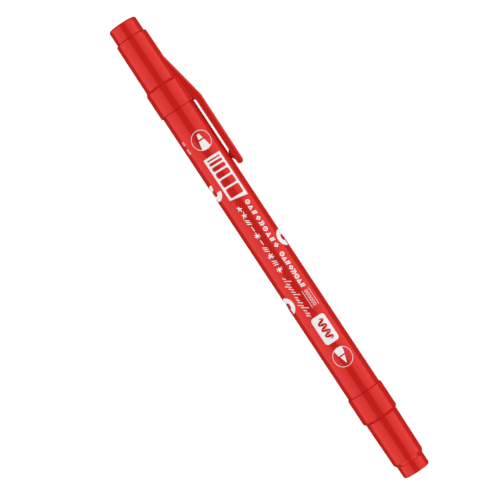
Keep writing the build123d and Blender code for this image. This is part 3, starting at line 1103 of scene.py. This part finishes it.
def flat_mesh(name, shapes):
    """A flat mesh from shapes, each an outline with its holes, cut into narrow strips."""
    bm = bmesh.new()
    for loops in shapes:
        corners = [bm.verts.new((x, y, 0.0)) for loop in loops for x, y in loop]
        for triangle in tessellate_polygon([[Vector((x, y, 0.0)) for x, y in loop] for loop in loops]):
            face = bm.faces.new([corners[k] for k in triangle])
            face.normal_update()
            if face.normal.z < 0:
                face.normal_flip()
    heights = [vert.co.y for vert in bm.verts]
    for k in range(math.ceil(min(heights) / STRIP), math.floor(max(heights) / STRIP) + 1):
        everything = bm.verts[:] + bm.edges[:] + bm.faces[:]
        bmesh.ops.bisect_plane(bm, geom=everything, dist=TINY, plane_co=(0, k * STRIP, 0),
                               plane_no=(0, 1, 0))
    mesh = bpy.data.meshes.new(name)
    bm.to_mesh(mesh)
    bm.free()
    return mesh


def wrap_recipe():
    """Gives flat printing its thickness and wraps it round the barrel."""
    recipe = Recipe("Wrap on barrel")
    radius = recipe.input("Barrel radius", "Float")
    height = recipe.input("Ink height", "Float")
    axis = recipe.input("Axis point", "Vector")
    front = recipe.input("Front", "Vector")
    side = recipe.input("Clip side", "Vector")
    material = recipe.input("Material", "Material")
    up = recipe.node("ShaderNodeCombineXYZ", None, {"Z": height})
    raised = recipe.node("GeometryNodeExtrudeMesh", {"mode": "FACES"},
                         {"Mesh": recipe.entry, "Offset": up, "Offset Scale": 1.0, "Individual": False})
    under = recipe.node("GeometryNodeFlipFaces", None, {"Mesh": recipe.entry})
    both = recipe.node("GeometryNodeJoinGeometry", None, {"Geometry": [raised, under]})
    closed = recipe.node("GeometryNodeMergeByDistance", None, {"Geometry": both, "Distance": TINY})
    flat = recipe.node("ShaderNodeSeparateXYZ", None,
                       {"Vector": recipe.node("GeometryNodeInputPosition")})
    angle = flat.also("Y") / radius
    out = radius + flat.also("Z")
    cosine = recipe.node("ShaderNodeMath", {"operation": "COSINE"}, {0: angle})
    sine = recipe.node("ShaderNodeMath", {"operation": "SINE"}, {0: angle})
    along = recipe.node("ShaderNodeCombineXYZ", None, {"X": 0.0 - flat.also("X")})
    place = recipe.vector("ADD", axis, along)
    place = recipe.vector("ADD", place, recipe.scaled(front, cosine * out))
    place = recipe.vector("ADD", place, recipe.scaled(side, sine * out))
    bent = recipe.node("GeometryNodeSetPosition", None, {"Geometry": closed, "Position": place})
    return recipe.finish(bent, material)


def mark_row_recipe():
    """A row of marks, taken in turn from a collection."""
    recipe = Recipe("Row of marks")
    marks = recipe.input("Marks", "Collection")
    count = recipe.input("Count", "Int", 18)
    start = recipe.input("Start", "Vector")
    pitch = recipe.input("Pitch", "Float")
    size = recipe.input("Size", "Float")
    first = recipe.input("First", "Int", 1)
    material = recipe.input("Material", "Material")
    step = recipe.node("ShaderNodeCombineXYZ", None, {"X": pitch})
    points = recipe.node("GeometryNodeMeshLine", {"mode": "OFFSET"},
                         {"Count": count, "Start Location": start, "Offset": step})
    pick = recipe.node("GeometryNodeInputIndex") * 2 + first
    forms = recipe.node("GeometryNodeCollectionInfo", None,
                        {"Collection": marks, "Separate Children": True, "Reset Children": True})
    inputs = {"Points": points, "Instance": forms, "Pick Instance": True, "Instance Index": pick,
              "Scale": recipe.node("ShaderNodeCombineXYZ", None, {"X": size, "Y": size, "Z": 1.0})}
    row = recipe.node("GeometryNodeInstanceOnPoints", None, inputs)
    return recipe.finish(row, material)


def wrap_values(settings, material):
    """Where and how thick the printing is wrapped."""
    return {"Barrel radius": BARREL_RADIUS, "Ink height": settings.ink_height, "Axis point": AXIS,
            "Front": FRONT, "Clip side": CLIP_WAY, "Material": material}


def printed(name, shapes, settings, material):
    """Flat shapes wrapped on the barrel as one piece of printing."""
    tree = bpy.data.node_groups.get("Wrap on barrel") or wrap_recipe()
    made = grown(name, flat_mesh(name, shapes), [(tree, wrap_values(settings, material))])
    return stand_for(made, "barrel", "white_print")


def ring(settings, x, y):
    """A thin ring round an icon: its outline and its hole."""
    return [circle(x, y, settings.icon_radius), circle(x, y, settings.icon_radius - settings.icon_line)]


def holder(settings, x, y, way, start, low, high):
    """The nib's holder in a ring: it widens from its front edge out to the ring."""
    reach = settings.icon_radius - settings.icon_line / 2
    spread = math.asin(high / reach)
    turns = [spread * (1 - step / 5) for step in range(11)]
    rim = [(x + way * reach * math.cos(turn), y + reach * math.sin(turn)) for turn in turns]
    return rim + [(x + way * start, y - low), (x + way * start, y + low)]


def bullet_icon(settings):
    """Ring with a broad round nib that points to the clip cap."""
    x, y = -33.0 * MM, 0.66 * MM
    front, back = x - 1.85 * MM, x - 0.42 * MM
    foot, crisp = 0.62 * MM, 0.04 * MM
    tip, blunt = 0.34 * MM, 0.28 * MM
    nib = soft([(back, y - foot, crisp), (back, y + foot, crisp),
                (front, y + tip, blunt), (front, y - tip, blunt)])
    grip = holder(settings, x, y, way=1, start=0.02 * MM, low=0.8 * MM, high=1.28 * MM)
    return [ring(settings, x, y), [nib], [grip]]


def fine_icon(settings):
    """Ring with a pointed nib that points to the plain cap."""
    x, y = 34.12 * MM, 0.27 * MM
    back, point = x - 0.2 * MM, x + 1.95 * MM
    foot, crisp = 0.7 * MM, 0.04 * MM
    nib = soft([(back, y - foot, crisp), (point, y, 0.06 * MM), (back, y + foot, crisp)])
    grip = holder(settings, x, y, way=-1, start=0.62 * MM, low=0.92 * MM, high=1.25 * MM)
    return [ring(settings, x, y), [nib], [grip]]


def line_weight_plate(settings):
    """Leaning plate with a row of upright strokes that grow from thin to broad."""
    left, right, low, high = -28.2 * MM, -15.75 * MM, -1.95 * MM, 3.25 * MM
    edge = 0.12 * MM
    plate = soft([(left, low, edge), (right, low, edge), (right + 1.0 * MM, high, edge),
                  (left, high, edge)])
    margin = 0.62 * MM
    gap = 0.5 * MM
    holes = []
    x = left + margin
    for width in (0.42 * MM, 0.78 * MM, 1.2 * MM, 1.68 * MM, 2.2 * MM, 2.75 * MM):
        corner = min(0.45 * MM, width * 0.45)
        holes.append(soft_box(x, low + margin, x + width, high - margin, corner, lean=0.1 * MM))
        x += width + gap
    return [[plate, *holes]]


def stroke_plate(settings):
    """Rounded plate with a bold wavy stroke across it."""
    left, right, low, high = 21.6 * MM, 29.6 * MM, -1.75 * MM, 2.45 * MM
    plate = soft_box(left, low, right, high, 0.95 * MM)
    margin = 1.05 * MM
    start, stop = left + margin, right - margin
    steps, waves = 72, 3.5
    tall = 0.78 * MM
    broad = 0.72 * MM
    middle = (low + high) / 2 + 0.05 * MM
    points, widths = [], []
    for step in range(steps + 1):
        share = step / steps
        height = tall * math.sin(2 * math.pi * waves * share)
        points.append(Vector((start + (stop - start) * share, middle + height)))
        widths.append(broad * min(1.0, 0.35 + 6 * share, 0.35 + 6 * (1 - share)))
    return [[plate, ribbon(points, widths)]]


def ruled_row(settings):
    """Two fine rules with a row of small open boxes between them."""
    left, right = 14.05 * MM, 19.2 * MM
    line = settings.fine_line
    shapes = [[soft_box(left, y, right, y + line, line * 0.4)] for y in (0.68 * MM, 2.78 * MM)]
    count = 6
    low, high = 1.3 * MM, 2.22 * MM
    half = 0.3 * MM
    inset = 0.25 * MM + half
    pitch = (right - left - 2 * inset) / (count - 1)
    for step in range(count):
        x = left + inset + pitch * step
        outer = soft_box(x - half, low, x + half, high, 0.2 * MM)
        inner = soft_box(x - half + line, low + line, x + half - line, high - line, 0.1 * MM)
        shapes.append([outer, inner])
    return shapes


def pen_scribble(settings):
    """A pen's test line: one thin leaning stroke that runs up and down, at times higher."""
    start, stop, base = 8.5 * MM, 20.8 * MM, -1.85 * MM
    waves = 15
    per_wave = 20
    lean = 0.42
    draws = random.Random(settings.scribble_seed)
    heights = [(1.7 if wave % 5 == 1 else 0.7 + 0.5 * draws.random()) * MM for wave in range(waves)]
    lows = [(-0.5 if wave % 7 == 3 else 0.12 * draws.random()) * MM for wave in range(waves)]
    points, widths = [], []
    for step in range(waves * per_wave + 1):
        wave = min(step // per_wave, waves - 1)
        turn = 2 * math.pi * (step - wave * per_wave) / per_wave
        rise = (1 - math.cos(turn)) / 2
        low = lows[wave] if turn < math.pi else lows[min(wave + 1, waves - 1)]
        y = base + low + (heights[wave] - low) * rise
        x = start + (stop - start) * step / (waves * per_wave) + lean * (y - base)
        points.append(Vector((x, y)))
        widths.append(settings.thin_stroke * (0.8 + 0.35 * math.sin(turn)))
    return [[ribbon(points, widths)]]


def burst(centre, turns, reaches, width):
    """A star of brush strokes that meet in the middle, as one outline."""
    corners = []
    for number, turn in enumerate(turns):
        way = Vector((math.cos(turn), math.sin(turn)))
        side = Vector((-way.y, way.x)) * width * 0.36
        tip = centre + way * reaches[number]
        corners += [tuple(tip - side), tuple(tip + side)]
        after = turns[(number + 1) % len(turns)] + (2 * math.pi if number == len(turns) - 1 else 0.0)
        middle = (turn + after) / 2
        notch = width * 0.62 / max(math.sin((after - turn) / 2), 0.5)
        corners.append(tuple(centre + Vector((math.cos(middle), math.sin(middle))) * notch))
    return corners


def brush_trials(settings):
    """A brush tip tried out: bursts of strokes, dashes and slanting ticks."""
    draws = random.Random(settings.brush_seed)
    left, right, middle = -13.6 * MM, 7.4 * MM, -1.0 * MM
    kinds = ("burst", "burst", "ticks", "dash", "burst", "dash", "ticks", "burst", "ticks", "burst")
    pitch = (right - left) / len(kinds)
    width = settings.brush_stroke
    shapes = []
    for place, kind in enumerate(kinds):
        centre = Vector((left + pitch * (place + 0.45), middle + 0.2 * (draws.random() - 0.5) * MM))
        if kind == "burst":
            arms = draws.choice((5, 6, 7))
            turns = [2 * math.pi * (arm + 0.45 * draws.random()) / arms for arm in range(arms)]
            reaches = [(0.62 + 0.4 * draws.random()) * MM for _ in range(arms)]
            shapes.append([burst(centre, turns, reaches, width)])
            continue
        strokes = 1 if kind == "dash" else 3
        reach = (0.75 if kind == "dash" else 0.68) * MM
        for stroke in range(strokes):
            turn = math.radians(4 if kind == "dash" else 52 + 24 * draws.random())
            way = Vector((math.cos(turn), math.sin(turn))) * reach
            foot = centre + Vector(((stroke - (strokes - 1) / 2) * 0.55 * MM, 0.0)) - way
            points = [foot + way * 2 * step / 6 for step in range(7)]
            widths = [width * (0.5 + 0.5 * math.sin(math.pi * (step + 1) / 8)) for step in range(7)]
            shapes.append([ribbon(points, widths)])
    return shapes


def loose_arcs(settings):
    """Open rings strewn round the barrel, three of them in sight from the front."""
    outer = settings.arc_radius
    inner = outer - settings.arc_width
    seen = [(-19.5, -4.95, 164, 282), (-0.4, 5.65, 7, -282), (15.55, -5.4, 6, 282)]
    behind = [(-31.0, -11.0, 60, 282), (-26.0, 12.4, -20, 282), (-9.5, 12.6, 100, 282),
              (-6.5, -12.3, 210, 282), (7.8, -12.6, 330, 282), (13.0, 11.8, 40, 282),
              (27.5, 11.0, 200, 282), (34.6, -9.45, 120, 282), (22.5, -12.2, 250, 282),
              (-36.5, 9.6, 170, 282)]
    return [[band(x * MM, y * MM, outer, inner, math.radians(start), math.radians(sweep))]
            for x, y, start, sweep in seen + behind]


def small_ticks(settings):
    """Tiny upright ticks near the clip cap, in two groups."""
    low, high = -4.85 * MM, -3.95 * MM
    width, pitch = 0.14 * MM, 0.42
    shapes = []
    for start, count in ((-35.2, 3), (-33.0, 4)):
        for k in range(count):
            x = (start + pitch * k) * MM
            shapes.append([soft_box(x, low, x + width, high, 0.06 * MM)])
    return shapes


def mark_forms(settings):
    """The bold row's marks, drawn one millimetre high, in a collection of their own."""
    line = 0.26
    diamond = [[(0.5, 0.0), (1.0, 0.5), (0.5, 1.0), (0.0, 0.5)],
               [(0.5, 0.33), (0.67, 0.5), (0.5, 0.67), (0.33, 0.5)]]
    wedge = [[(0.0, 0.0), (0.95, 0.0), (0.475, 0.95)], [(0.33, 0.19), (0.62, 0.19), (0.475, 0.48)]]
    chevrons = [[[(x, 0.0), (x + line, 0.0), (x + line + 0.28, 0.5), (x + line, 1.0), (x, 1.0),
                  (x + 0.28, 0.5)]] for x in (0.0, 0.42)]
    slanted = [[soft_box(x, 0.0, x + line, 1.0, 0.1, 0.2)] for x in (0.0, 0.36)]
    target = [[circle(0.48, 0.48, 0.48, 28), circle(0.48, 0.48, 0.26, 20)],
              [circle(0.48, 0.48, 0.12, 12)]]
    group = bpy.data.collections.new("row_marks")
    bpy.context.scene.collection.children.link(group)
    for index, shapes in enumerate(([diamond], [wedge], chevrons, slanted, target)):
        mesh = flat_mesh(f"mark_{index}", [[[(x * MM, y * MM) for x, y in loop] for loop in loops]
                                           for loops in shapes])
        group.objects.link(bpy.data.objects.new(f"mark_{index}", mesh))
    return group


def make_bold_row(name, settings, start, pitch, count, material):
    """A row of bold marks beside the front line."""
    group = mark_forms(settings)
    row = bpy.data.node_groups.get("Row of marks") or mark_row_recipe()
    wrap = bpy.data.node_groups.get("Wrap on barrel") or wrap_recipe()
    values = {"Marks": group, "Count": count, "Start": (start, settings.row_base, 0.0),
              "Pitch": pitch, "Size": settings.row_height / MM, "First": settings.row_first,
              "Material": material}
    carrier = bpy.data.meshes.new(name)
    made = grown(name, carrier, [(row, values), (wrap, wrap_values(settings, material))])
    for form in list(group.objects):
        bpy.data.objects.remove(form)
    bpy.data.collections.remove(group)
    return stand_for(made, "barrel", "white_print")


# ---- studio --------------------------------------------------------------------------------------

def make_floor(studio, colours):
    """A plain pale floor."""
    half = studio.floor_size / 2
    bm = bmesh.new()
    corners = [bm.verts.new((x * half, y * half, 0.0)) for x, y in ((-1, -1), (1, -1), (1, 1), (-1, 1))]
    bm.faces.new(corners)
    bmesh.ops.subdivide_edges(bm, edges=bm.edges, cuts=8, use_grid_fill=True)
    floor = new_object("floor", bm, floor_finish(colours))
    floor.visible_glossy = False


def make_room(studio):
    """Even white room light, with a long softbox on each side of the marker in its reflections."""
    world = bpy.data.worlds.new("room")
    world.use_nodes = True
    world.cycles.sampling_method = "NONE"
    room = Graph(world.node_tree)
    way = room.node("ShaderNodeTexCoord").also("Generated")
    along, front, side = (room.vector("DOT_PRODUCT", way, axis, output=1)
                          for axis in (ALONG, FRONT, CLIP_WAY))
    turn = room.node("ShaderNodeMath", {"operation": "ARCTAN2"}, {0: side, 1: front})
    gap = studio.gap_angle
    blur = math.radians(6.0)            # how softly a softbox ends
    glow = gap * 2.6                    # from here on a softbox is about evenly bright
    inner, even = 0.62, 0.96            # its brightness at the gap, and there
    stops = [(-studio.far_reach - blur, 0.0), (-studio.far_reach, 1.0), (-glow, even),
             (-gap, inner), (-gap + blur, 0.0), (gap - blur, 0.0), (gap, inner), (glow, even),
             (studio.clip_reach, 1.0), (studio.clip_reach + blur, 0.0)]
    stops = [(angle / (2 * math.pi) + 0.5, value) for angle, value in stops]
    boxes = room.ramp(turn / (2 * math.pi) + 0.5, *stops)
    ends = room.ramp(along / 2 + 0.5, (studio.box_start / 2 + 0.49, 0.0),
                     (studio.box_start / 2 + 0.51, 1.0), (studio.box_end / 2 + 0.5, 1.0),
                     (studio.box_end / 2 + 0.55, 0.0))
    paths = room.node("ShaderNodeLightPath")
    glossy = paths.also("Is Glossy Ray")
    camera = paths.also("Is Camera Ray")
    ambient = studio.room_light * (1.0 - studio.end_falloff * (along * along))
    seen = glossy * (boxes * ends * studio.softbox_light)
    level = seen + camera + (1.0 - glossy) * (1.0 - camera) * ambient
    back = world.node_tree.nodes["Background"]
    back.inputs["Color"].default_value = (1.0, 1.0, 1.0, 1.0)
    room.tree.links.new(level.socket, back.inputs["Strength"])
    bpy.context.scene.world = world


def make_studio(studio):
    """Camera square to the printed side, a softbox on each side of it, and an even room light."""
    data = bpy.data.cameras.new("camera")
    camera = bpy.data.objects.new("camera", data)
    bpy.context.scene.collection.objects.link(camera)
    data.sensor_width = 36.0
    data.lens = data.sensor_width * studio.camera_distance / studio.view_width
    data.clip_start = 0.01
    data.clip_end = 20.0
    right = -ALONG * math.sin(studio.tilt) + CLIP_WAY * math.cos(studio.tilt)
    up = ALONG * math.cos(studio.tilt) + CLIP_WAY * math.sin(studio.tilt)
    place = AXIS + ALONG * studio.centre_along - CLIP_WAY * studio.centre_aside
    place += FRONT * studio.camera_distance
    turn = Matrix((right, up, FRONT)).transposed().to_4x4()
    camera.matrix_world = Matrix.Translation(place) @ turn
    bpy.context.scene.camera = camera

    make_room(studio)
    bpy.context.scene.view_settings.view_transform = "Standard"


# ---- operators -----------------------------------------------------------------------------------

class MARKER_OT_barrel(bpy.types.Operator):
    """Make the barrel with its necks"""
    bl_idname = "marker.barrel"
    bl_label = "Barrel"

    def execute(self, context):
        stand_for(make_barrel(context.scene.marker_barrel), "barrel", "red_plastic", "barrel_tube")
        return {"FINISHED"}


class MARKER_OT_printing(bpy.types.Operator):
    """Print the icons, plates, rows and arcs on the barrel"""
    bl_idname = "marker.printing"
    bl_label = "Printing"

    def execute(self, context):
        settings = context.scene.marker_print
        ink = painted("white_print", printing_finish, context.scene.marker_colours)
        for draw in (bullet_icon, fine_icon, line_weight_plate, stroke_plate, ruled_row,
                     pen_scribble, brush_trials, loose_arcs, small_ticks):
            printed("print_" + draw.__name__, draw(settings), settings, ink)
        make_bold_row("print_bold_row_1", settings, -13.75 * MM, 1.68 * MM, 9, ink)
        make_bold_row("print_bold_row_2", settings, 2.5 * MM, 1.39 * MM, 8, ink)
        return {"FINISHED"}


class MARKER_OT_clip_cap(bpy.types.Operator):
    """Make the cap with the clip, and the ribs in its mouth"""
    bl_idname = "marker.clip_cap"
    bl_label = "Clip cap"

    def execute(self, context):
        scene = context.scene
        cap = make_clip_cap(scene.marker_clip_cap, scene.marker_clip)
        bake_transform(cap)
        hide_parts("clip_cap_shell", "pocket_clip")
        ribs = make_mouth_ribs("clip_cap_ribs", scene.marker_clip_cap, CLIP_END,
                               scene.marker_barrel.rib_count)
        stand_for(ribs, "clip_cap", "red_plastic")
        return {"FINISHED"}


class MARKER_OT_plain_cap(bpy.types.Operator):
    """Make the plain cap, and the ribs in its mouth"""
    bl_idname = "marker.plain_cap"
    bl_label = "Plain cap"

    def execute(self, context):
        scene = context.scene
        cap = make_plain_cap(scene.marker_plain_cap)
        stand_for(cap, "plain_cap", "red_plastic", "plain_cap_shell")
        ribs = make_mouth_ribs("plain_cap_ribs", scene.marker_plain_cap, PLAIN_END,
                               scene.marker_barrel.rib_count)
        stand_for(ribs, "plain_cap", "red_plastic")
        return {"FINISHED"}


class MARKER_OT_end_plugs(bpy.types.Operator):
    """Make the nub on the end of each cap"""
    bl_idname = "marker.end_plugs"
    bl_label = "End plugs"

    def execute(self, context):
        scene = context.scene
        clip_side = make_end_plug("clip_cap_nub", scene.marker_clip_cap, CLIP_END)
        stand_for(clip_side, "clip_cap", "red_plastic", "clip_cap_plug")
        plain_side = make_end_plug("plain_cap_nub", scene.marker_plain_cap, PLAIN_END)
        stand_for(plain_side, "plain_cap", "red_plastic", "plain_cap_plug")
        return {"FINISHED"}


class MARKER_OT_liners(bpy.types.Operator):
    """Make the milky inner cap in each cap"""
    bl_idname = "marker.liners"
    bl_label = "Liners"

    def execute(self, context):
        clip_side = make_liner("clip_cap_inner", CLIP_END, 0.66 * MM)
        stand_for(clip_side, "clip_cap", "liner_plastic", "clip_cap_liner")
        plain_side = make_liner("plain_cap_inner", PLAIN_END, 0.58 * MM)
        stand_for(plain_side, "plain_cap", "liner_plastic", "plain_cap_liner")
        return {"FINISHED"}


class MARKER_OT_sections(bpy.types.Operator):
    """Make the two front pieces with their sealing rings"""
    bl_idname = "marker.sections"
    bl_label = "Sections"

    def execute(self, context):
        settings = context.scene.marker_barrel
        bullet = make_section("bullet_front", CLIP_END, settings, settings.bullet_lip,
                              CLIP_END.nib_radius + PRESS_GAP)
        stand_for(bullet, "barrel", "black_plastic", "bullet_section")
        fine = make_section("fine_front", PLAIN_END, settings, settings.fine_lip,
                            SLEEVE_RADIUS + PRESS_GAP)
        stand_for(fine, "barrel", "black_plastic", "fine_section")
        for name, end in (("bullet_fins", CLIP_END), ("fine_fins", PLAIN_END)):
            stand_for(make_grip_fins(name, end, settings), "barrel", "black_plastic")
        return {"FINISHED"}


class MARKER_OT_nibs(bpy.types.Operator):
    """Make the bullet nib, the fine nib and its sleeve"""
    bl_idname = "marker.nibs"
    bl_label = "Nibs"

    def execute(self, context):
        bullet = make_nib("bullet_point", CLIP_END, 1.7 * MM, 0.75 * MM)
        stand_for(bullet, "barrel", "inked_fibre", "bullet_nib")
        fine = make_nib("fine_point", PLAIN_END, 0.45 * MM, 0.2 * MM)
        stand_for(fine, "barrel", "inked_fibre", "fine_nib")
        stand_for(make_sleeve(PLAIN_END), "barrel", "black_plastic", "fine_tip_sleeve")
        return {"FINISHED"}


class MARKER_OT_reservoir(bpy.types.Operator):
    """Give the ink fibre and its film their finishes"""
    bl_idname = "marker.reservoir"
    bl_label = "Reservoir"

    def execute(self, context):
        colours = context.scene.marker_colours
        drier = tuple(min(1.0, channel * 1.6) for channel in colours.reservoir)
        fibre = fibre_finish("reservoir_fibre", colours, tuple(colours.reservoir), drier)
        for node, finish in (("ink_reservoir", fibre), ("reservoir_film", film_finish())):
            slots = frame["nodes"][node].data.materials
            slots.clear()
            slots.append(finish)
        return {"FINISHED"}


class MARKER_OT_studio(bpy.types.Operator):
    """Set up the floor, lights and camera"""
    bl_idname = "marker.studio"
    bl_label = "Studio"

    def execute(self, context):
        make_studio(context.scene.marker_studio)
        make_floor(context.scene.marker_studio, context.scene.marker_colours)
        return {"FINISHED"}


class MARKER_PT_sidebar(bpy.types.Panel):
    """Lists the marker's pieces"""
    bl_idname = "MARKER_PT_sidebar"
    bl_label = "Twin-tip marker"
    bl_space_type = "VIEW_3D"
    bl_region_type = "UI"
    bl_category = "Marker"

    def draw(self, context):
        for operator in PIECES:
            self.layout.operator(operator.bl_idname)
        for name in SETTINGS:
            settings = getattr(context.scene, name)
            box = self.layout.box()
            for field in settings.__annotations__:
                box.prop(settings, field)


PIECES = (MARKER_OT_studio, MARKER_OT_barrel, MARKER_OT_printing, MARKER_OT_clip_cap,
          MARKER_OT_plain_cap, MARKER_OT_end_plugs, MARKER_OT_liners, MARKER_OT_sections,
          MARKER_OT_nibs, MARKER_OT_reservoir)
SETTINGS = {
    "marker_clip_cap": MARKER_PG_clip_cap,
    "marker_plain_cap": MARKER_PG_plain_cap,
    "marker_clip": MARKER_PG_clip,
    "marker_barrel": MARKER_PG_barrel,
    "marker_print": MARKER_PG_print,
    "marker_colours": MARKER_PG_colours,
    "marker_studio": MARKER_PG_studio,
}


def register():
    for group in (*SETTINGS.values(), *PIECES, MARKER_PT_sidebar):
        bpy.utils.register_class(group)
    for name, group in SETTINGS.items():
        setattr(bpy.types.Scene, name, PointerProperty(type=group))


def unregister():
    for name in SETTINGS:
        delattr(bpy.types.Scene, name)
    for group in reversed((*SETTINGS.values(), *PIECES, MARKER_PT_sidebar)):
        bpy.utils.unregister_class(group)


def main():
    """Registers the add-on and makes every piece."""
    register()
    for operator in PIECES:
        family, action = operator.bl_idname.split(".")
        getattr(getattr(bpy.ops, family), action)()


if __name__ == "__main__":
    main()
